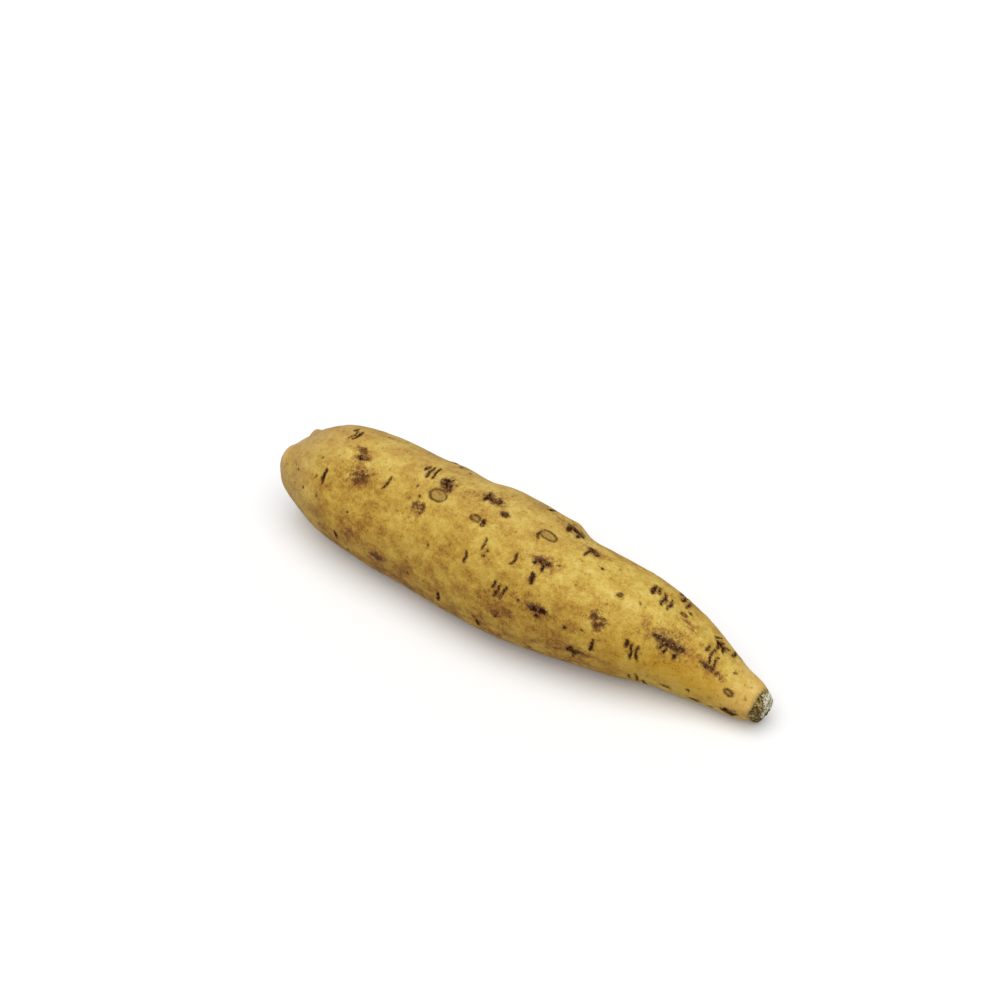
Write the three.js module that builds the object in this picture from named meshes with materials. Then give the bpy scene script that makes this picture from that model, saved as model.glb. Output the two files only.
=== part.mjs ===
// A whole white sweet potato, lying as it comes to rest on a table.
//
// The root grew as one piece, so it is one closed solid. A spine runs through it from the
// blunt stem end at -X to the thin root tip at +X, bowed a little sideways and drooping to
// the tip. A closed section stands square to the spine at every station. Its radius comes
// from the girth curve, and a few waves and local forms take it away from a circle. The
// underside is pressed flat where it bears on the table, half a millimetre deep.
import * as THREE from 'three';

// Driving dimensions, in millimetres.
const LENGTH = 220;
const FULL_RADIUS = 26;

// How finely the skin is faceted.
const RINGS = 80;
const AROUND = 40;

// Girth along the root: share of the length from the stem end, share of the full radius.
// The repeated 0 and 1 close both ends with a small flat scar.
const GIRTH = [
  [0, 0], [0, 0.28], [0.009, 0.46],
  [0.045, 0.63], [0.11, 0.85], [0.2, 0.945], [0.31, 0.95], [0.42, 0.99], [0.535, 0.985],
  [0.645, 0.865], [0.755, 0.77], [0.845, 0.585], [0.925, 0.405],
  [0.972, 0.306], [0.993, 0.248], [1, 0.154], [1, 0],
];

// The spine at equal steps along X, in shares of the full radius: sideways offset and height.
const SPINE_SIDE = [0.17, 0.19, 0.13, 0.06, 0, -0.04, 0.07, 0.125, 0.08];
const SPINE_HEIGHT = [0.85, 0.883, 0.913, 0.922, 0.945, 0.878, 0.77, 0.53, 0.305];

// Slow waves round the section: depth as a share of the radius, number of waves in a turn,
// phase in radians, and twist in radians per millimetre of length.
const WAVES = [
  { depth: 0.03, count: 2, phase: -0.9, twist: 1 / 60 },
  { depth: 0.02, count: 3, phase: 1.1, twist: -1 / 45 },
  { depth: 0.008, count: 5, phase: 0.4, twist: 1 / 28 },
];

// Local swellings and hollows. at: distance from mid length; angle: degrees round the
// section, 0 at +Y and 90 on top; long, wide: half-widths along and round; rise: height.
const FORMS = [
  { name: 'slanting shoulder by the stem scar', at: -106.4, angle: 86, long: 3.8, wide: 4.8, rise: -3.4 },
  { name: 'rim of the stem end', at: -108, angle: 122, long: 3, wide: 5, rise: 2.2 },
  { name: 'hollow low on the stem end', at: -106, angle: 173, long: 4, wide: 6, rise: -0.65 },
  { name: 'notch before the knob', at: -105.8, angle: 63, long: 1.6, wide: 3, rise: -0.45 },
  { name: 'knob of an old side root', at: -103.7, angle: 63, long: 1.3, wide: 1.9, rise: 1.85 },
  { name: 'fullness behind the knob', at: -94, angle: 64, long: 6, wide: 8, rise: 0.4 },
  { name: 'back, knob low on the flank', at: -75, angle: 325, long: 3, wide: 3, rise: 0.9 },
  { name: 'dent under the brown stain', at: -64, angle: 124, long: 5, wide: 8, rise: -0.7 },
  { name: 'back, long shallow groove', at: -46, angle: 352, long: 16, wide: 5, rise: -1 },
  { name: 'far flank, swelling', at: -36, angle: 48, long: 5, wide: 9, rise: 0.7 },
  { name: 'far flank, dip', at: -22, angle: 48, long: 6, wide: 9, rise: -0.6 },
  { name: 'far flank, second swelling', at: -12, angle: 46, long: 5, wide: 9, rise: 0.7 },
  { name: 'far flank, long fullness', at: 12, angle: 48, long: 30, wide: 9, rise: 0.4 },
  { name: 'hump round a root scar', at: 16, angle: 39, long: 3, wide: 5, rise: 1 },
  { name: 'dip behind the hump', at: 24, angle: 38, long: 5, wide: 8, rise: -0.7 },
  { name: 'back, dent of a root scar', at: 47, angle: 5, long: 5, wide: 5, rise: -0.8 },
  { name: 'near flank, hollow', at: 68, angle: 222, long: 7, wide: 8, rise: -0.7 },
  { name: 'far flank, swelling of the taper', at: 74, angle: 34, long: 7, wide: 8, rise: 0.8 },
  { name: 'far flank, hollow before the tip', at: 96, angle: 35, long: 5, wide: 7, rise: -0.7 },
  { name: 'near flank, swelling before the tip', at: 100, angle: 222, long: 5, wide: 5, rise: 0.7 },
  { name: 'undercut of the tip', at: 108, angle: 222, long: 2.5, wide: 5, rise: -0.8 },
  { name: 'slant of the torn face', at: 109, angle: 68, long: 3, wide: 5, rise: -0.45 },
  { name: 'corner of the torn face', at: 109.5, angle: 22, long: 2.5, wide: 4, rise: -1 },
  { name: 'heel of the torn face', at: 109.5, angle: 280, long: 2.3, wide: 3.1, rise: 1.85 },
];

// Near the two ends the section is too small to carry a form, so forms fade out there.
const FORM_FADE_RADIUS = 6;

const SKIN = new THREE.MeshStandardMaterial({
  name: 'skin',
  color: 0xc9a55c,
  roughness: 0.6,
  metalness: 0,
});

const UP = new THREE.Vector3(0, 0, 1);

const girthCurve = new THREE.CatmullRomCurve3(
  GIRTH.map(([share, radius]) => new THREE.Vector3(share, radius, 0)),
  false,
  'catmullrom',
  0.5,
);

const spineCurve = new THREE.CatmullRomCurve3(
  SPINE_SIDE.map((side, i) => new THREE.Vector3(
    (i / (SPINE_SIDE.length - 1) - 0.5) * LENGTH,
    side * FULL_RADIUS,
    SPINE_HEIGHT[i] * FULL_RADIUS,
  )),
  false,
  'catmullrom',
  0.5,
);

// Radius of the section `along` millimetres from mid length, in direction `angle` (radians).
function sectionRadius(along, angle, radius) {
  let factor = 1;
  for (const wave of WAVES) {
    factor += wave.depth * Math.cos(wave.count * angle + wave.phase + wave.twist * along);
  }
  let rise = 0;
  for (const form of FORMS) {
    const turn = angle - THREE.MathUtils.degToRad(form.angle);
    const round = Math.atan2(Math.sin(turn), Math.cos(turn)) * radius;
    const far = ((along - form.at) / form.long) ** 2 + (round / form.wide) ** 2;
    rise += form.rise * Math.exp(-far / 2);
  }
  return radius * factor + rise * Math.min(radius / FORM_FADE_RADIUS, 1);
}

// One ring of points: a section square to the spine, pressed flat where it meets the table.
function ring(t) {
  const girth = girthCurve.getPoint(t);
  const share = THREE.MathUtils.clamp(girth.x, 0, 1);
  const along = (girth.x - 0.5) * LENGTH;
  const centre = spineCurve.getPoint(share);
  const forward = spineCurve.getTangent(share);
  const sideways = new THREE.Vector3().crossVectors(UP, forward).normalize();
  const upward = new THREE.Vector3().crossVectors(forward, sideways);
  const points = [];
  for (let j = 0; j < AROUND; j++) {
    const angle = (2 * Math.PI * j) / AROUND;
    const radius = sectionRadius(along, angle, girth.y * FULL_RADIUS);
    const point = centre.clone()
      .addScaledVector(sideways, radius * Math.cos(angle))
      .addScaledVector(upward, radius * Math.sin(angle));
    point.z = Math.max(point.z, 0);
    points.push(point);
  }
  return points;
}

// The closed skin: a pole at each end, and rings between them joined by triangles that
// face outwards.
function skinGeometry() {
  const points = [spineCurve.getPoint(0)];
  for (let i = 1; i < RINGS; i++) {
    points.push(...ring(i / RINGS));
  }
  points.push(spineCurve.getPoint(1));
  const lastPole = points.length - 1;
  const lastRing = lastPole - AROUND;
  const faces = [];
  for (let j = 0; j < AROUND; j++) {
    const next = (j + 1) % AROUND;
    faces.push(0, 1 + next, 1 + j);
    for (let i = 0; i < RINGS - 2; i++) {
      const a = 1 + i * AROUND + j;
      const b = 1 + i * AROUND + next;
      faces.push(a, b, b + AROUND, a, b + AROUND, a + AROUND);
    }
    faces.push(lastPole, lastRing + j, lastRing + next);
  }
  const geometry = new THREE.BufferGeometry().setFromPoints(points);
  geometry.setIndex(faces);
  return geometry;
}

// The origin is the middle of the box round the root, on the table.
function standOnOrigin(geometry) {
  geometry.computeBoundingBox();
  const middle = geometry.boundingBox.getCenter(new THREE.Vector3());
  geometry.translate(-middle.x, -middle.y, -geometry.boundingBox.min.z);
  geometry.computeVertexNormals();
  return geometry;
}

const root = new THREE.Mesh(standOnOrigin(skinGeometry()), SKIN);
root.name = 'sweet_potato';

const part = new THREE.Group();
part.name = 'white_sweet_potato';
part.add(root);

export default part;
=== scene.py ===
import math
from itertools import product

import bpy
import numpy as np
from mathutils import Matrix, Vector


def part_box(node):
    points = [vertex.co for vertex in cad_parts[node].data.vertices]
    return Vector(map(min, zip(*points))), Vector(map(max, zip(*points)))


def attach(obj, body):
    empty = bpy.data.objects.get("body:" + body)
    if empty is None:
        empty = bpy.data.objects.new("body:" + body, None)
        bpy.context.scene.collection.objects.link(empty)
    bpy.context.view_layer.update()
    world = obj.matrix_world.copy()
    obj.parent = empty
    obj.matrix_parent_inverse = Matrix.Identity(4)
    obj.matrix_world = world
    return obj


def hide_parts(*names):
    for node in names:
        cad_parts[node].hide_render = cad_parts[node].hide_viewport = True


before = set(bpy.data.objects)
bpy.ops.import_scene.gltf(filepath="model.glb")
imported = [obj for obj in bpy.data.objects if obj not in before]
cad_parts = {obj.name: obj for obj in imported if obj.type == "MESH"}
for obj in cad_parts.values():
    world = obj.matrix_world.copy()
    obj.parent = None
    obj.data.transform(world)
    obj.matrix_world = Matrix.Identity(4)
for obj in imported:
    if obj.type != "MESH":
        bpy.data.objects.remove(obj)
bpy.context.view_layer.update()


# ---- The root: its form ----------------------------------------------------------------
# One storage root, skin and flesh grown together, lying on its belly. A spine runs from the
# blunt stem end at -X to the thin root tip at +X, and closed sections stand square to it.
# Sizes here are millimetres and degrees, and the finished mesh is written in metres.

MM = 0.001
LENGTH = 220
FULL_RADIUS = 26

# Girth: share of the length from the stem end, and share of the full radius.
GIRTH = [
    (0, 0), (0, 0.28), (0.009, 0.46),
    (0.045, 0.63), (0.11, 0.85), (0.2, 0.945), (0.31, 0.95), (0.42, 0.99), (0.535, 0.985),
    (0.645, 0.865), (0.755, 0.77), (0.845, 0.585), (0.925, 0.405),
    (0.972, 0.306), (0.993, 0.248), (1, 0.154), (1, 0),
]

# The spine at equal steps along X, in shares of the full radius.
SPINE_SIDE = [0.17, 0.19, 0.13, 0.06, 0, -0.04, 0.07, 0.125, 0.08]
SPINE_HEIGHT = [0.85, 0.883, 0.913, 0.922, 0.945, 0.878, 0.77, 0.53, 0.305]

# Slow waves round the section: depth, waves in a turn, phase, twist per millimetre.
WAVES = [(0.03, 2, -0.9, 1 / 60), (0.02, 3, 1.1, -1 / 45), (0.008, 5, 0.4, 1 / 28)]

# Local swellings and hollows: distance from mid length, angle round the section (0 at +Y,
# 90 on top), half-width along, half-width round, height.
FORMS = [
    (-106.4, 86, 3.8, 4.8, -3.4),  # slanting shoulder by the stem scar
    (-108, 122, 3, 5, 2.2),        # rim of the stem end
    (-106, 173, 4, 6, -0.65),      # hollow low on the stem end
    (-105.8, 63, 1.6, 3, -0.45),   # notch before the knob
    (-103.7, 63, 1.3, 1.9, 1.85),  # knob of an old side root
    (-94, 64, 6, 8, 0.4),          # fullness behind the knob
    (-75, 325, 3, 3, 0.9),         # knob low on the back
    (-64, 124, 5, 8, -0.7),        # dent under the brown stain
    (-46, 352, 16, 5, -1),         # long shallow groove on the back
    (-36, 48, 5, 9, 0.7),          # far flank, swelling
    (-22, 48, 6, 9, -0.6),         # far flank, dip
    (-12, 46, 5, 9, 0.7),          # far flank, second swelling
    (12, 48, 30, 9, 0.4),          # far flank, long fullness
    (16, 39, 3, 5, 1),             # hump round a root scar
    (24, 38, 5, 8, -0.7),          # dip behind the hump
    (47, 5, 5, 5, -0.8),           # root scar on the back
    (68, 222, 7, 8, -0.7),         # near flank, hollow
    (74, 34, 7, 8, 0.8),           # far flank, swelling of the taper
    (96, 35, 5, 7, -0.7),          # far flank, hollow before the tip
    (100, 222, 5, 5, 0.7),         # near flank, swelling before the tip
    (108, 222, 2.5, 5, -0.8),      # undercut of the tip
    (109, 68, 3, 5, -0.45),        # slant of the torn face
    (109.5, 22, 2.5, 4, -1),       # corner of the torn face
    (109.5, 280, 2.3, 3.1, 1.85),  # heel of the torn face
]
FORM_FADE_RADIUS = 6    # where the section is thinner than this, the forms fade out

ROWS = 420              # rings of points from pole to pole
AROUND = 232            # points in a ring
GIRTH_SAMPLES = 4001    # steps used to measure the girth line


def through(points, t):
    """A smooth line through evenly numbered points, at t from 0 to 1: on each stretch the
    cubic whose slope at a point is half the step from the point before to the one after.
    Past the ends the line of points goes on straight."""
    points = np.array(points, float)
    place = np.clip(t, 0, 1) * (len(points) - 1)
    first = np.minimum(place.astype(int), len(points) - 2)
    w = (place - first)[:, None]
    line = np.vstack([2 * points[0] - points[1], points, 2 * points[-1] - points[-2]])
    before, start, end, after = (line[first + k] for k in range(4))
    leave, arrive = (end - before) / 2, (after - start) / 2
    cubic = 2 * start - 2 * end + leave + arrive
    square = -3 * start + 3 * end - 2 * leave - arrive
    return cubic * w**3 + square * w**2 + leave * w + start


def even_steps(count):
    """Values of t that walk the girth line from pole to pole in steps of equal length."""
    t = np.linspace(0, 1, GIRTH_SAMPLES)
    line = through(GIRTH, t) * [LENGTH, FULL_RADIUS]
    walked = np.append(0, np.hypot(*np.diff(line, axis=0).T).cumsum())
    steps = np.linspace(0, walked[-1], count)
    return np.interp(steps, walked, t), steps


def turn_between(angle, other):
    """The shorter way round from one angle to the other, in radians."""
    return (angle - other + np.pi) % (2 * np.pi) - np.pi


def section_radius(along, angle, radius):
    """Radius times 1 plus the waves, plus a bell-shaped rise for each local form."""
    factor = 1
    for depth, count, phase, twist in WAVES:
        factor = factor + depth * np.cos(count * angle + phase + twist * along)
    rise = 0
    for at, degrees, long, wide, height in FORMS:
        arc = turn_between(angle, math.radians(degrees)) * radius
        rise = rise + height * np.exp(-(((along - at) / long) ** 2 + (arc / wide) ** 2) / 2)
    return radius * factor + rise * np.minimum(radius / FORM_FADE_RADIUS, 1)


def root_surface(t, angle):
    """Points of the skin: centre on the spine, plus the section's radius times the cosine of
    the angle sideways and its sine upwards, both square to the spine. The belly is pressed
    flat at height 0."""
    girth = through(GIRTH, t)
    share = np.clip(girth[:, 0], 0, 1)
    along = ((girth[:, 0] - 0.5) * LENGTH)[:, None]
    radius = (np.maximum(girth[:, 1], 0) * FULL_RADIUS)[:, None]
    stations = np.linspace(-0.5, 0.5, len(SPINE_SIDE)) * LENGTH
    spine = np.column_stack([
        stations,
        np.array(SPINE_SIDE) * FULL_RADIUS,
        np.array(SPINE_HEIGHT) * FULL_RADIUS,
    ])
    step = 1e-3
    ahead = through(spine, share + step) - through(spine, share - step)
    ahead /= np.linalg.norm(ahead, axis=1, keepdims=True)
    sideways = np.cross([0, 0, 1], ahead)
    sideways /= np.linalg.norm(sideways, axis=1, keepdims=True)
    upward = np.cross(ahead, sideways)
    reach = section_radius(along, angle, radius)[..., None]
    cosine, sine = np.cos(angle)[..., None], np.sin(angle)[..., None]
    across = cosine * sideways[:, None] + sine * upward[:, None]
    points = through(spine, share)[:, None] + reach * across
    points[..., 2] = np.maximum(points[..., 2], 0)
    return points, along, radius


steps, walked = even_steps(ROWS)
angle = np.linspace(0, 2 * np.pi, AROUND, endpoint=False)[None, :]
skin, along, radius = root_surface(steps, angle)
from_stem = walked[:, None]
from_tip = walked[-1] - from_stem


def outward(points):
    """Unit normals: the change round the section crossed with the change along it. The two
    poles take the direction that their neighbours share."""
    round_step = np.roll(points, -1, axis=1) - np.roll(points, 1, axis=1)
    along_step = np.gradient(points, axis=0)
    normal = np.cross(round_step, along_step)
    normal[0] = normal[1].mean(axis=0)
    normal[-1] = normal[-2].mean(axis=0)
    return normal / np.linalg.norm(normal, axis=2, keepdims=True)


# ---- The root: scars, cracks and stains ------------------------------------------------
# Marks that the soil, side roots and harvest leave on the skin: dark corky cracks, rough scabs,
# healed scars with a brown outline, and soft bruises. The places that stand out are listed.
# A seeded rule for each kind draws the strokes there, and strews small marks everywhere.

# The kind of mark, its distance from mid length, its angle and how far it reaches.
PLACES = [
    ("bruise", -65, 120, 5), ("slits", -80, 80, 2.5), ("scar", -30, 90, 3.5),
    ("healed", -30, 105, 6), ("bruise", -35, 125, 3), ("slits", -40, 90, 3),
    ("scar", -10, 85, 4), ("healed", -10, 110, 3), ("healed", 15, 90, 5),
    ("scar", 20, 60, 4), ("scar", 20, 115, 3), ("slits", 10, 155, 3),
    ("scar", 25, 155, 3), ("bruise", 45, 145, 3), ("scar", 40, 185, 3),
    ("slits", 60, 160, 3), ("slits", 65, 205, 3.5), ("slits", 60, 80, 3.5),
    ("slits", 65, 55, 3), ("scar", 70, 130, 6), ("slits", 85, 110, 3.5),
    ("slits", 85, 70, 3), ("scar", 100, 190, 2.5),
]

# Broad shades: distance from mid length, angle, half-width along, half-width round, and how
# much deeper in ochre (above 0) or paler (below 0) than the skin around.
# Most rows are the skin's own tone. The paler row at 90 mm, low on the near flank, is painted light that
# lifts the shaded underside near the table.
TONES_AND_PAINTED_LIGHT = [
    (-65, 130, 14, 9, 0.25), (-75, 80, 14, 6, 0.25), (-50, 110, 10, 8, -0.2),
    (-30, 110, 14, 12, 0.15), (20, 110, 10, 10, 0.15), (25, 155, 18, 8, 0.25),
    (50, 105, 14, 10, -0.25), (75, 130, 9, 5, 0.25), (75, 180, 14, 9, -0.25),
    (90, 200, 14, 8, -0.3), (100, 105, 8, 8, -0.3),
]

# How many marks of each kind are strewn over the whole skin, and how far from mid length.
STREWN = {"crack": 40, "scab": 8, "healed": 10, "stain": 28, "fleck": 90}
STREWN_TO = 98
MARK_SEED = 21

LATTICE = 61            # random values along each side of the noise lattice, which repeats
FAR = 8.0               # distances to an edge are kept below this,
DEEP = -4               # and above this inside it
WIDEST_TURN = 14        # no stroke reaches further round than this from its middle, in degrees


def lumps(points, size, seed):
    """Smooth noise from -1 to 1: random values on a cubic lattice of the given size in
    millimetres, blended between the eight nearest by smoothstep weights."""
    cell = points / size
    low = np.floor(cell).astype(int)
    share = cell - low
    share = share * share * (3 - 2 * share)
    lattice = np.random.default_rng(seed).uniform(-1, 1, (LATTICE,) * 3)
    total = 0
    for corner in product((0, 1), repeat=3):
        weight = np.prod(np.where(corner, share, 1 - share), axis=-1)
        x, y, z = np.moveaxis((low + corner) % LATTICE, -1, 0)
        total = total + weight * lattice[x, y, z]
    return total


def fade(value, low, high):
    """0 below low, 1 above high, and smoothstep between."""
    share = np.clip((value - low) / (high - low), 0, 1)
    return share * share * (3 - 2 * share)


def stroke_distance(half_width, points):
    """Millimetres over the skin to the edge of a stroke, negative inside. The skin is unrolled
    round the stroke's first point. The distance is the least over the stroke's straight
    pieces, less a half-width that is full in the middle and shrinks to the stroke's ends."""
    points = np.array(points, float)
    first = turn_between(math.radians(points[0, 1]), drawn_angle) * radius
    turns = np.radians(points[:, 1] - points[0, 1])
    ahead = [at - drawn_along for at in points[:, 0]]
    aside = [first + turn * radius for turn in turns]
    if len(points) == 1:
        return np.hypot(ahead[0], aside[0]) - half_width
    size = np.interp(points[0, 0], along[:, 0], radius[:, 0])
    lengths = np.hypot(np.diff(points[:, 0]), np.diff(turns) * size)
    starts = np.append(0, lengths.cumsum()) / lengths.sum()
    nearest = np.full(skin.shape[:2], np.inf)
    for i in range(len(points) - 1):
        x, y = ahead[i], aside[i]
        run, rise = ahead[i + 1] - x, aside[i + 1] - y
        share = np.clip(-(x * run + y * rise) / (run**2 + rise**2 + 1e-9), 0, 1)
        gone = starts[i] + (starts[i + 1] - starts[i]) * share
        taper = np.sqrt(np.clip(1 - np.abs(2 * gone - 1) ** 3, 0, 1))
        edge = np.hypot(x + share * run, y + share * rise) - half_width * (0.3 + 0.7 * taper)
        nearest = np.minimum(nearest, edge)
    return nearest


def nearest_edge(strokes):
    """Distance to the nearest edge of several strokes, kept within a few millimetres."""
    nearest = np.full(skin.shape[:2], FAR)
    for half_width, points in strokes:
        nearest = np.minimum(nearest, stroke_distance(half_width, points))
    return np.clip(nearest, DEEP, FAR)


def bells(marks):
    """One bell-shaped field for each soft mark, as high as its strength."""
    for at, degrees, long, wide, strength in marks:
        arc = turn_between(drawn_angle, math.radians(degrees)) * radius
        yield strength * np.exp(-(((drawn_along - at) / long) ** 2 + (arc / wide) ** 2) / 2)


def add_mark(marks, draw, kind, at, degrees, reach):
    """Adds the strokes and soft marks of one place, sized by its reach. A crack is a line of
    three points across the root, leaning a little, and slits are three of them side by side. A
    fleck is a dot. A scab is a line along the root in rust, with a crack, and a scar adds four
    cracks, a stain and a smear. A healed scar has half a sine wave on each side. A bruise is
    three stains side by side in rust, and any other kind is one stain in rust."""
    lean, bend = draw.normal(0, 0.5, 2)
    size = np.interp(at, along[:, 0], radius[:, 0])
    turn = min(math.degrees(reach / size), WIDEST_TURN)
    across = [(at - lean, degrees - turn), (at + bend, degrees), (at + lean, degrees + turn)]
    if kind == "crack":
        marks["crack"].append((draw.uniform(0.3, 0.7), across))
    elif kind == "fleck":
        marks["crack"].append((draw.uniform(0.25, 0.5), [(at, degrees)]))
    elif kind == "slits":
        for step in (-0.7, 0, 0.8):
            shift, round_shift = step * reach, draw.uniform(-0.6, 0.6) * turn
            slit = [(x + shift, y + round_shift) for x, y in across]
            marks["crack"].append((draw.uniform(0.3, 0.6), slit[:2] if step < 0 else slit))
        marks["rust"].append((at, degrees, reach, reach, 0.4))
    elif kind in ("scab", "scar"):
        lengthwise = [(at - reach, degrees), (at + reach, degrees + 6 * lean)]
        marks["scab"].append((draw.uniform(0.6, 1.4), lengthwise))
        split = [(at - 0.5 * reach, degrees), (at, degrees + 2)]
        marks["crack"].append((draw.uniform(0.4, 0.7), split))
        marks["rust"].append((at, degrees, 2 * reach, reach, draw.uniform(0.3, 0.8)))
        if kind == "scar":
            for step in draw.uniform(-0.8, 0.8, 4):
                start = (at + step * reach, degrees + draw.uniform(-0.7, 0.7) * turn)
                end = (start[0] + lean, start[1] + 0.5 * turn)
                marks["crack"].append((draw.uniform(0.4, 0.7), [start, end]))
            marks["stain"].append((at, degrees, 0.7 * reach, 0.5 * reach, 0.45))
            marks["smear"].append((at, degrees, reach, 0.7 * reach, 0.8))
            marks["crowd"].append((at, degrees, 2 * reach, 1.4 * reach, 0.6))
    elif kind == "healed":
        left, right = at - 0.7 * reach, at + 0.7 * reach
        marks["healed"].append((0.2 * reach + 0.4, [(left, degrees), (right, degrees)]))
        for side in (-0.45, 0.4):
            bow = [(at - 0.7 * reach * math.cos(k), degrees + side * turn * math.sin(k))
                   for k in np.linspace(0, math.pi, 6)]
            marks["line"].append((0.32, bow))
    elif kind == "bruise":
        for step in (-0.5, 0.1, 0.6):
            place = (at + step * reach, degrees + draw.uniform(-0.6, 0.6) * turn)
            marks["stain"].append((*place, 0.45 * reach, 0.6 * reach, draw.uniform(0.7, 1.2)))
        marks["rust"].append((at, degrees, reach, 0.8 * reach, 0.8))
        marks["crowd"].append((at, degrees, 1.4 * reach, 1.2 * reach, 0.7))
    else:
        length = reach * draw.uniform(0.4, 1.2)
        marks["stain"].append((at, degrees, length, reach * 0.5, draw.uniform(0.3, 0.9)))
        marks["rust"].append((at + lean, degrees, 1.6 * reach, reach, draw.uniform(0.3, 0.9)))


def skin_marks(seed):
    """All the marks: those of the places, then those strewn evenly over the skin."""
    draw = np.random.default_rng(seed)
    kinds = ("crack", "scab", "healed", "line", "stain", "rust", "smear", "crowd")
    marks = {kind: [] for kind in kinds}
    for kind, at, degrees, reach in PLACES:
        add_mark(marks, draw, kind, at, degrees, reach)
    for kind, count in STREWN.items():
        for _ in range(count):
            at, degrees = draw.uniform(-STREWN_TO, STREWN_TO), draw.uniform(0, 360)
            add_mark(marks, draw, kind, at, degrees, draw.uniform(1.2, 3.4))
    return marks


marks = skin_marks(MARK_SEED)

# Noise shifts the skin that the marks are drawn on, by under a millimetre, so none is straight.
drawn_along = along + 0.45 * lumps(skin, 2.6, 31) + 0.2 * lumps(skin, 1.3, 32)
shift_round = 0.45 * lumps(skin, 2.6, 33) + 0.2 * lumps(skin, 1.3, 34)
drawn_angle = angle + shift_round / np.maximum(radius, 3)
crack = nearest_edge(marks["crack"])
scab = nearest_edge(marks["scab"])
healed = nearest_edge(marks["healed"])
line = nearest_edge(marks["line"])
stain = np.maximum.reduce(list(bells(marks["stain"])))
rust = np.maximum.reduce(list(bells(marks["rust"])))
smear = np.maximum.reduce(list(bells(marks["smear"])))
crowd = sum(bells(marks["crowd"]))

# Painted shade: the skin deepens from its lit top line down the flanks, less so at the two
# ends, in soft clouds.
clouds = 0.16 * lumps(skin, 15, 51) + 0.12 * lumps(skin, 7, 52)
away_from_light = 1 - np.cos(turn_between(angle, math.radians(97)))
painted_flank_shade = np.minimum(away_from_light, 1.0) * (1 - 0.6 * fade(along, 15, 85)) * (1 - 0.5 * fade(along, -75, -100))
tone_and_painted_shading = 0.52 * painted_flank_shade - 0.2 + sum(bells(TONES_AND_PAINTED_LIGHT)) + clouds


# ---- The root: relief and mesh ---------------------------------------------------------
# The skin is never even: it swells and sinks gently, wrinkles near both ends, sinks at the
# cracks between slightly raised lips, and stands up rough on the scabs. The stem end is a
# flat cap round the fibrous stem scar, and the broken tip is a dried callus with torn fibres.

STEM_CAP = 15.5     # how far the flat cap reaches from the stem pole, over the skin
STEM_SCAR = 6.5     # how far the fibrous scar inside it reaches from the same pole
CALLUS = 8.8        # how far the callus reaches from the tip pole, and a little more on top
TORN_FACE = 4.4     # how far the torn face reaches from the tip pole, over twice as far on top

stem_cap = from_stem - STEM_CAP - 1.2 * lumps(skin, 6, 40) - 0.4 * lumps(skin, 2, 41)
stem_scar = from_stem - STEM_SCAR - 0.9 * lumps(skin, 2.5, 42)
callus = from_tip - CALLUS - 1.1 * np.sin(angle) - 0.5 * lumps(skin, 2.2, 43)
on_top = np.exp(-(turn_between(angle, math.radians(75)) / math.radians(45)) ** 2)
torn_reach = TORN_FACE + 5.5 * on_top - 0.9 * np.maximum(-np.sin(angle), 0)
torn_face = np.maximum(from_tip - torn_reach, callus + 1) + 0.7 * lumps(skin, 1.6, 44)

ends = 1 - fade(from_stem, 8, 45) + 1 - fade(from_tip, 10, 40)
on_callus = 1 - fade(callus, -0.5, 0.5)
on_face = 1 - fade(torn_face, -0.5, 0.5)
on_scab = 1 - fade(scab + 0.4 * lumps(skin, 1.5, 7), -0.4, 0.5)
in_crack = 1 - fade(crack, -0.7, 0.25)
lip = np.exp(-((crack - 0.55) / 0.45) ** 2)
on_line = 1 - fade(line, -0.3, 0.3)
cap_groove = np.exp(-((stem_cap / 0.8) ** 2)) * (0.5 + 0.5 * np.sin(angle))
in_scar = 1 - fade(stem_scar, -0.8, 0.5)

pucker = np.sin(13 * angle + 2.5 * lumps(skin, 7, 48)) * np.exp(-(((stem_scar - 1.8) / 2.2) ** 2))

relief = (
    0.3 * lumps(skin, 17, 1)
    + 0.17 * lumps(skin * [0.35, 1, 1], 6, 2)
    + 0.07 * lumps(skin, 2.6, 3)
    + 0.08 * ends * lumps(skin * [1, 0.3, 0.3], 1.7, 4)
    - 0.38 * in_crack
    + 0.12 * lip
    + on_scab * (0.08 + 0.14 * lumps(skin, 1.1, 8))
    - 0.1 * on_line
    - 0.05 * (1 - fade(healed, -0.6, 0))
    - 0.25 * cap_groove
    - 0.3 * np.maximum(pucker, 0)
    + in_scar * (0.35 * lumps(skin * [0.3, 1, 1], 1.2, 11) - 0.5)
    + 0.2 * on_callus * lumps(skin * [0.25, 1, 1], 0.9, 9)
    + on_face * (0.5 * (1 - on_top) + 0.4 * lumps(skin, 1.2, 10))
)
on_back = np.exp(-(turn_between(angle, math.radians(72)) / math.radians(30)) ** 2)
on_belly = 1 - fade(skin[..., 2], 0.0, 0.6)
relief = relief * (1 - on_belly)
skin = skin + relief[..., None] * outward(skin)
skin[..., 2] = np.maximum(skin[..., 2], 0)


def fit_to_box(points, low, high):
    """Stretches the points by well under one per cent, so that they fill the box exactly."""
    own_low, own_high = points.min(axis=(0, 1)), points.max(axis=(0, 1))
    share = (points - own_low) / (own_high - own_low)
    return low + share * (high - low)


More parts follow.
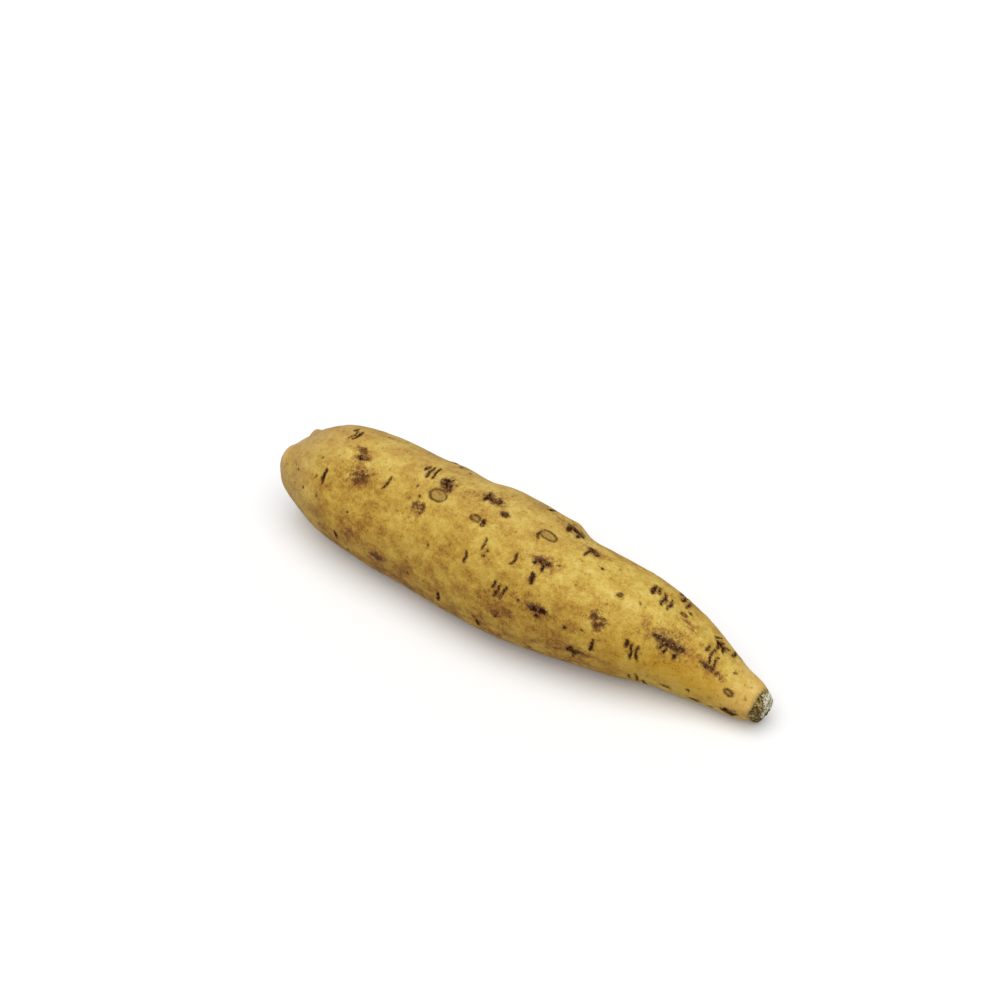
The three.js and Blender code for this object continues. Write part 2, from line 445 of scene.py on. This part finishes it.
def closed_mesh(name, points, fields):
    """A mesh of rings with a single point at each pole: four-sided faces between rings, and
    triangles at the poles, all facing outwards. Each field is written on the points."""
    rows, count = points.shape[:2]
    flat = np.vstack([points[0, :1], points[1:-1].reshape(-1, 3), points[-1, :1]])
    column = np.arange(count)
    beside = (column + 1) % count
    row = 1 + count * np.arange(rows - 3)[:, None]
    quads = np.stack([row + column, row + beside, row + count + beside, row + count + column], -1)
    last = len(flat) - 1
    stem_fan = np.stack([0 * column, 1 + beside, 1 + column], -1)
    tip_fan = np.stack([0 * column + last, last - count + column, last - count + beside], -1)
    mesh = bpy.data.meshes.new(name)
    faces = [*quads.reshape(-1, 4).tolist(), *stem_fan.tolist(), *tip_fan.tolist()]
    mesh.from_pydata(flat.tolist(), [], faces)
    mesh.polygons.foreach_set("use_smooth", np.ones(len(faces), bool))
    for label, values in fields.items():
        values = np.broadcast_to(values, (rows, count))
        per_point = np.concatenate([values[0, :1], values[1:-1].ravel(), values[-1, :1]])
        attribute = mesh.attributes.new(label, "FLOAT", "POINT")
        attribute.data.foreach_set("value", per_point.astype(np.float32))
    mesh.update()
    return mesh


low, high = (np.array(corner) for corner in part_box("sweet_potato"))
from_flank = turn_between(angle, math.radians(160))
root_mesh = closed_mesh("root_skin", fit_to_box(skin, low, high), {
    "crack": crack,
    "scab": scab,
    "healed": healed,
    "line": line,
    "stain": stain,
    "rust": rust,
    "smear": smear,
    "crowd": crowd,
    # the tone field, which carries painted shade down the flanks
    "tone_and_painted_shading": tone_and_painted_shading,
    "stem_shade": (1 - fade(from_stem + 6 * lumps(skin, 9, 45), 22, 50)) * (0.7 + 0.6 * on_back),
    "back_shade": on_back * (1 - fade(along + 10 * lumps(skin, 12, 47), 0, 50)),
    "flank_shade": np.exp(-((along - 78) / 26) ** 2 - (from_flank / 0.65) ** 2),
    "tip_shade": 1 - fade(from_tip + 5 * lumps(skin, 8, 46), 10, 26),
    "stem_cap": np.minimum(stem_cap, FAR),
    "stem_scar": np.minimum(stem_scar, FAR),
    "callus": np.minimum(callus, FAR),
    "torn_face": np.minimum(torn_face, FAR),
    "low_side": 1 - fade(skin[..., 2], 4, 8.5),
})
root = bpy.data.objects.new("root_skin", root_mesh)
bpy.context.scene.collection.objects.link(root)


# ---- The root: the finish of its skin --------------------------------------------------
# Thin dry skin, matt with a soft sheen: cream-yellow to tan, clouded with ochre, greyer at the
# stem end, freckled with brown pores and crossed by fine lines. The corky marks are rougher.

def plug(tree, socket, value):
    """Joins another node's output to the socket, or writes a plain value on it."""
    if isinstance(value, bpy.types.NodeSocket):
        tree.links.new(value, socket)
    else:
        socket.default_value = value


def calc(tree, operation, *values):
    """A Math node."""
    made = tree.nodes.new("ShaderNodeMath")
    made.operation = operation
    for socket, value in zip(made.inputs, values):
        plug(tree, socket, value)
    return made.outputs[0]


def slope(tree, value, low, high, steep=1.0):
    """0 at low, steep at high, smoothstep between. It falls where low is above high."""
    made = tree.nodes.new("ShaderNodeMapRange")
    made.interpolation_type = "SMOOTHSTEP"
    flip = low > high
    plug(tree, made.inputs["Value"], value)
    made.inputs["From Min"].default_value = min(low, high)
    made.inputs["From Max"].default_value = max(low, high)
    made.inputs["To Min"].default_value = steep if flip else 0
    made.inputs["To Max"].default_value = 0 if flip else steep
    return made.outputs["Result"]


def noise(tree, place, size, detail=2.0, roughness=0.5):
    """Noise from 0 to 1 with features of that size in millimetres."""
    made = tree.nodes.new("ShaderNodeTexNoise")
    plug(tree, made.inputs["Vector"], place)
    made.inputs["Scale"].default_value = 1 / size
    made.inputs["Detail"].default_value = detail
    made.inputs["Roughness"].default_value = roughness
    return made.outputs["Fac"]


def stretch(tree, place, scale):
    """The same place with each axis scaled, so that a pattern runs long or short on it."""
    made = tree.nodes.new("ShaderNodeMapping")
    plug(tree, made.inputs["Vector"], place)
    made.inputs["Scale"].default_value = scale
    return made.outputs["Vector"]


def field(tree, label):
    """One of the fields written on the mesh's points."""
    made = tree.nodes.new("ShaderNodeAttribute")
    made.attribute_name = label
    return made.outputs["Fac"]


def tint(red, green, blue):
    """A colour given as 0 to 255 on screen, as the linear values that a shader takes."""
    shares = [v / 255 for v in (red, green, blue)]
    return [s / 12.92 if s < 0.04045 else ((s + 0.055) / 1.055) ** 2.4 for s in shares] + [1]


def over(tree, mask, top, under):
    """The top colour laid over the under one where the mask is 1."""
    made = tree.nodes.new("ShaderNodeMix")
    made.data_type = "RGBA"
    factor, under_socket, top_socket = (made.inputs[i] for i in (0, 6, 7))
    plug(tree, factor, mask)
    plug(tree, under_socket, under)
    plug(tree, top_socket, top)
    return made.outputs[2]


def freckles(tree, place, size, spread, amount):
    """Round specks: in each cell of a Voronoi pattern, a dot as large as the cell's own
    random value allows, and none in the cells where that value is too small."""
    made = tree.nodes.new("ShaderNodeTexVoronoi")
    plug(tree, made.inputs["Vector"], place)
    made.inputs["Scale"].default_value = 1 / spread
    channels = tree.nodes.new("ShaderNodeSeparateColor")
    plug(tree, channels.inputs["Color"], made.outputs["Color"])
    chosen = calc(tree, "SUBTRACT", channels.outputs["Red"], 1 - amount)
    reach = calc(tree, "MULTIPLY", chosen, size / spread / amount)
    return slope(tree, calc(tree, "SUBTRACT", made.outputs["Distance"], reach), 0.06, -0.03)


def ramp(tree, value, stops):
    """A colour that runs smoothly through the given stops: place from 0 to 1, and colour."""
    made = tree.nodes.new("ShaderNodeValToRGB")
    plug(tree, made.inputs["Fac"], value)
    elements = made.color_ramp.elements
    while len(elements) < len(stops):
        elements.new(0.5)
    for element, (at, colour) in zip(elements, stops):
        element.position = at
        element.color = colour
    return made.outputs["Color"]


def total(tree, *terms):
    """The sum of several values, each given with its weight."""
    result = 0.0
    for value, weight in terms:
        made = tree.nodes.new("ShaderNodeMath")
        made.operation = "MULTIPLY_ADD"
        for socket, part in zip(made.inputs, (value, weight, result)):
            plug(tree, socket, part)
        result = made.outputs[0]
    return result


def root_skin_material():
    """The skin in layers, each laid over the last: cloudy ground colour, shaded ends, healed
    scars, rust and stains, pores, callus and torn face, then lines, scabs and cracks."""
    material = bpy.data.materials.new("root_skin")
    material.use_nodes = True
    tree = material.node_tree
    shader = tree.nodes["Principled BSDF"]
    coordinates = tree.nodes.new("ShaderNodeTexCoord")
    place = stretch(tree, coordinates.outputs["Object"], (1000, 1000, 1000))
    lengthwise = stretch(tree, place, (0.65, 1, 1))
    crosswise = stretch(tree, place, (3.0, 0.6, 0.6))

    # patches of cream, tan and ochre with ragged edges
    broad = noise(tree, place, 11, 2, 0.5)
    blotch = noise(tree, lengthwise, 5.0, 5, 0.6)
    mottle = noise(tree, place, 1.9, 5, 0.65)
    grain = noise(tree, place, 0.6, 3, 0.7)
    lines = noise(tree, crosswise, 1.4, 3, 0.6)
    patches = slope(tree, blotch, 0.34, 0.66)
    spots = slope(tree, mottle, 0.34, 0.68)
    shift = total(tree, (broad, 0.25), (patches, 0.3), (spots, 0.18), (grain, 0.7), (lines, 0.15))
    # the first term brings in painted shade down the flanks, besides the skin's own tone
    deepness = total(tree, (field(tree, "tone_and_painted_shading"), 0.5), (shift, 1.0), (1.0, -0.295))
    colour = ramp(tree, deepness, [
        (0.0, tint(238, 212, 122)),
        (0.28, tint(220, 188, 88)),
        (0.48, tint(204, 164, 68)),
        (0.68, tint(182, 136, 52)),
        (0.84, tint(152, 104, 42)),
        (1.0, tint(116, 76, 34)),
    ])

    # peachy skin before the tip, deeper yellow low on the near flank, a duller back, greyer
    # skin towards the stem, and a paler cap round the fibrous scar of the stem
    colour = over(tree, calc(tree, "MULTIPLY", field(tree, "tip_shade"), 0.5), tint(240, 194, 118), colour)
    colour = over(tree, calc(tree, "MULTIPLY", field(tree, "flank_shade"), 0.7), tint(204, 150, 30), colour)
    colour = over(tree, calc(tree, "MULTIPLY", field(tree, "back_shade"), 0.22), tint(206, 172, 118), colour)
    colour = over(tree, calc(tree, "MULTIPLY", field(tree, "stem_shade"), 0.46), tint(196, 160, 112), colour)
    ragged = calc(tree, "ADD", noise(tree, place, 0.75, 3, 0.75), -0.5)
    clumps = noise(tree, place, 0.55, 2, 0.65)
    on_cap = slope(tree, field(tree, "stem_cap"), 0.7, -1.2)
    capped = calc(tree, "MULTIPLY", on_cap, slope(tree, mottle, 0.25, 0.6, 0.75))
    colour = over(tree, capped, tint(214, 180, 128), colour)
    scar_edge = total(tree, (field(tree, "stem_scar"), 1.0), (ragged, 5.0), (mottle, 2.0), (1.0, -1.0))
    colour = over(tree, slope(tree, scar_edge, 3.2, 0, 0.6), tint(150, 108, 62), colour)
    scar_tone = ramp(tree, total(tree, (mottle, 0.6), (clumps, 0.4)), [
        (0.36, tint(58, 40, 28)),
        (0.46, tint(98, 72, 48)),
        (0.55, tint(138, 106, 70)),
        (0.66, tint(184, 150, 104)),
    ])
    in_scar = slope(tree, scar_edge, 0.5, -0.5)
    colour = over(tree, in_scar, scar_tone, colour)

    # healed scars
    healed_edge = total(tree, (field(tree, "healed"), 1.0), (ragged, 2.0))
    on_healed = slope(tree, healed_edge, 0.3, -0.4)
    healed_patches = slope(tree, noise(tree, place, 1.4, 3, 0.6), 0.35, 0.65)
    healed_tone = over(tree, healed_patches, tint(168, 136, 78), tint(118, 88, 46))
    colour = over(tree, calc(tree, "MULTIPLY", on_healed, 0.6), healed_tone, colour)

    # rust, stains and smears, broken up by the mottling
    broken = total(tree, (patches, 0.3), (spots, 0.8), (grain, 1.2), (1.0, -0.2))
    rust = calc(tree, "MULTIPLY", field(tree, "rust"), broken)
    colour = over(tree, slope(tree, rust, 0.12, 0.95, 0.75), tint(158, 100, 44), colour)
    stain = calc(tree, "MULTIPLY", field(tree, "stain"), broken)
    colour = over(tree, slope(tree, stain, 0.15, 0.6, 0.75), tint(134, 82, 36), colour)
    colour = over(tree, slope(tree, stain, 0.42, 0.9, 0.9), tint(82, 48, 22), colour)
    streaks = noise(tree, lengthwise, 0.9, 4, 0.65)
    streaks = total(tree, (streaks, 1.4), (spots, 0.8), (grain, 0.6), (1.0, -0.6))
    smear = calc(tree, "MULTIPLY", field(tree, "smear"), streaks)
    colour = over(tree, slope(tree, smear, 0.12, 0.9, 0.85), tint(104, 74, 40), colour)

    # pores and specks, thick where they crowd
    crowd = total(tree, (field(tree, "crowd"), 0.09), (blotch, 0.22), (1.0, -0.11))
    fine = calc(tree, "ADD", noise(tree, place, 0.6, 2, 0.6), crowd)
    coarse = calc(tree, "ADD", noise(tree, place, 0.95, 2, 0.6), crowd)
    specks = calc(tree, "MAXIMUM", slope(tree, fine, 0.69, 0.78), slope(tree, coarse, 0.71, 0.8))
    olive = calc(tree, "ADD", noise(tree, place, 1.7, 3, 0.55), crowd)
    colour = over(tree, slope(tree, olive, 0.6, 0.76, 0.65), tint(126, 92, 36), colour)
    small_pores = freckles(tree, place, 0.34, 1.5, 0.3)
    large_pores = freckles(tree, place, 0.5, 4.0, 0.3)
    pores = calc(tree, "MAXIMUM", small_pores, large_pores)
    pores = calc(tree, "MAXIMUM", calc(tree, "MULTIPLY", pores, slope(tree, blotch, 0.4, 0.6)), specks)
    colour = over(tree, calc(tree, "MULTIPLY", pores, 0.55), tint(122, 76, 28), colour)

    # the dried callus at the tip and its torn face, darker towards the bottom
    fibres = noise(tree, stretch(tree, place, (0.6, 1, 1)), 0.8, 3, 0.65)
    fibres = total(tree, (fibres, 0.5), (mottle, 0.25), (clumps, 0.25))
    callus_tone = ramp(tree, fibres, [
        (0.42, tint(48, 40, 22)),
        (0.48, tint(98, 82, 46)),
        (0.54, tint(146, 126, 78)),
        (0.61, tint(206, 186, 134)),
    ])
    callus_edge = total(tree, (field(tree, "callus"), 1.0), (ragged, 2.4))
    colour = over(tree, slope(tree, callus_edge, 2.0, 0, 0.4), tint(150, 122, 70), colour)
    on_callus = slope(tree, callus_edge, 0.7, -0.5)
    colour = over(tree, on_callus, callus_tone, colour)
    flakes = noise(tree, place, 1.3, 2, 0.5)
    frayed = total(tree, (clumps, 0.65), (flakes, 0.35), (field(tree, "low_side"), -0.3))
    face_tone = ramp(tree, frayed, [
        (0.36, tint(80, 68, 46)),
        (0.43, tint(146, 132, 98)),
        (0.49, tint(206, 198, 166)),
        (0.56, tint(244, 240, 216)),
    ])
    face_edge = total(tree, (field(tree, "torn_face"), 1.0), (ragged, 3.0))
    colour = over(tree, slope(tree, face_edge, 0.4, -0.5), face_tone, colour)

    # brown lines, scabs and cracks, with ragged edges
    corks = total(tree, (clumps, 1.3), (noise(tree, place, 1.4, 1, 0.5), 0.9), (1.0, -0.6))
    line_edge = total(tree, (field(tree, "line"), 1.0), (ragged, 0.9))
    pressed = slope(tree, noise(tree, place, 1.7, 2, 0.5), 0.15, 0.45)
    colour = over(tree, slope(tree, line_edge, 0.9, 0, 0.4), tint(136, 98, 44), colour)
    on_line = calc(tree, "MULTIPLY", slope(tree, line_edge, 0.5, -0.3, 0.95), pressed)
    colour = over(tree, on_line, tint(86, 54, 18), colour)
    scab_edge = total(tree, (field(tree, "scab"), 1.0), (ragged, 3.0))
    near_scab = slope(tree, scab_edge, 1.4, -0.2, 0.5)
    colour = over(tree, near_scab, tint(142, 104, 54), colour)
    on_scab = slope(tree, scab_edge, 0.6, -0.5)
    scab_tone = ramp(tree, corks, [
        (0.36, tint(38, 20, 12)),
        (0.48, tint(70, 44, 28)),
        (0.62, tint(106, 74, 48)),
        (0.8, tint(176, 138, 98)),
    ])
    colour = over(tree, calc(tree, "MULTIPLY", on_scab, 0.88), scab_tone, colour)
    crack_edge = total(tree, (field(tree, "crack"), 1.0), (ragged, 2.2))
    colour = over(tree, slope(tree, crack_edge, 1.0, 0, 0.5), tint(132, 90, 44), colour)
    in_crack = slope(tree, crack_edge, 0.45, -0.25)
    crack_tone = ramp(tree, corks, [
        (0.42, tint(36, 16, 8)),
        (0.57, tint(66, 32, 20)),
        (0.7, tint(112, 62, 40)),
        (0.84, tint(196, 146, 104)),
    ])
    colour = over(tree, calc(tree, "MULTIPLY", in_crack, 0.95), crack_tone, colour)

    plug(tree, shader.inputs["Base Color"], colour)

    # sheen and the finest relief
    corky_marks = calc(tree, "MAXIMUM", on_scab, in_crack)
    corky_ends = calc(tree, "MAXIMUM", on_callus, in_scar)
    corky = calc(tree, "MAXIMUM", corky_marks, corky_ends)
    dark_marks = calc(tree, "MAXIMUM", corky, on_line)
    plug(tree, shader.inputs["Roughness"], total(tree, (mottle, 0.25), (corky, 0.25), (1.0, 0.45)))
    height = total(tree, (mottle, 0.3), (grain, 0.14), (lines, 0.12), (pores, -0.1), (on_line, -0.08))
    height = calc(tree, "ADD", height, calc(tree, "MULTIPLY", calc(tree, "MULTIPLY", corky, clumps), 0.45))
    bump = tree.nodes.new("ShaderNodeBump")
    bump.inputs["Strength"].default_value = 0.7
    bump.inputs["Distance"].default_value = MM
    plug(tree, bump.inputs["Height"], height)
    plug(tree, shader.inputs["Normal"], bump.outputs["Normal"])
    plug(tree, shader.inputs["Specular IOR Level"], total(tree, (dark_marks, -0.16), (1.0, 0.18)))
    return material


root.data.materials.append(root_skin_material())
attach(root, "root")
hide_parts("sweet_potato")


# ---- The table and the light -----------------------------------------------------------
# A plain pale table under one broad soft light overhead, a little to the front, with an even
# glow from all round. It shows white to the camera and keeps the root's shadow.

HALF = 3.0              # half the table's width, in metres
LIGHT_STRENGTH = 2.25
LIGHT_SPREAD = math.radians(70)
GLOW = 0.28             # the even glow on the root,
GLOW_SEEN = 0.72        # and what is added where the camera looks straight at it

floor_mesh = bpy.data.meshes.new("table")
corners = [(-HALF, -HALF, 0), (HALF, -HALF, 0), (HALF, HALF, 0), (-HALF, HALF, 0)]
floor_mesh.from_pydata(corners, [], [(0, 1, 2, 3)])
floor = bpy.data.objects.new("table", floor_mesh)
bpy.context.scene.collection.objects.link(floor)


def table_material():
    """White to the camera, and a middling grey as a source of bounced light, so that the
    underside keeps its own shade."""
    material = bpy.data.materials.new("table")
    material.use_nodes = True
    tree = material.node_tree
    shader = tree.nodes["Principled BSDF"]
    path = tree.nodes.new("ShaderNodeLightPath")
    seen = path.outputs["Is Camera Ray"]
    white, grey = (0.95, 0.95, 0.95, 1), (0.62, 0.62, 0.6, 1)
    plug(tree, shader.inputs["Base Color"], over(tree, seen, white, grey))
    plug(tree, shader.inputs["Emission Color"], (1, 1, 1, 1))
    plug(tree, shader.inputs["Emission Strength"], calc(tree, "MULTIPLY", seen, 0.1))
    shader.inputs["Roughness"].default_value = 0.9
    shader.inputs["Specular IOR Level"].default_value = 0.1
    return material


floor.data.materials.append(table_material())

sun = bpy.data.lights.new("soft_light", "SUN")
sun.energy = LIGHT_STRENGTH
sun.angle = LIGHT_SPREAD
soft_light = bpy.data.objects.new("soft_light", sun)
towards_light = Vector((0.1, -0.22, 1))
soft_light.rotation_euler = towards_light.to_track_quat("Z", "Y").to_euler()
bpy.context.scene.collection.objects.link(soft_light)

world = bpy.data.worlds.new("studio")
world.use_nodes = True
background = world.node_tree.nodes["Background"]
path = world.node_tree.nodes.new("ShaderNodeLightPath")
glow = calc(world.node_tree, "MULTIPLY_ADD", path.outputs["Is Camera Ray"], GLOW_SEEN, GLOW)
background.inputs["Color"].default_value = (1, 1, 1, 1)
plug(world.node_tree, background.inputs["Strength"], glow)
bpy.context.scene.world = world
bpy.context.scene.view_settings.view_transform = "Standard"


# ---- The camera ------------------------------------------------------------------------
# It looks down at the root from the front right, so that the tip comes towards the viewer.

AZIMUTH = math.radians(34.5)
ELEVATION = math.radians(40)
DISTANCE = 0.7751       # metres from the point it aims at
AIM = Vector((-0.0291, 0.0329, 0.0199))

camera_data = bpy.data.cameras.new("camera")
camera_data.lens = 70
camera_data.sensor_width = 36
camera = bpy.data.objects.new("camera", camera_data)
back = Vector((
    math.sin(AZIMUTH) * math.cos(ELEVATION),
    -math.cos(AZIMUTH) * math.cos(ELEVATION),
    math.sin(ELEVATION),
))
camera.location = AIM + back * DISTANCE
camera.rotation_euler = back.to_track_quat("Z", "Y").to_euler()
bpy.context.scene.collection.objects.link(camera)
bpy.context.scene.camera = camera
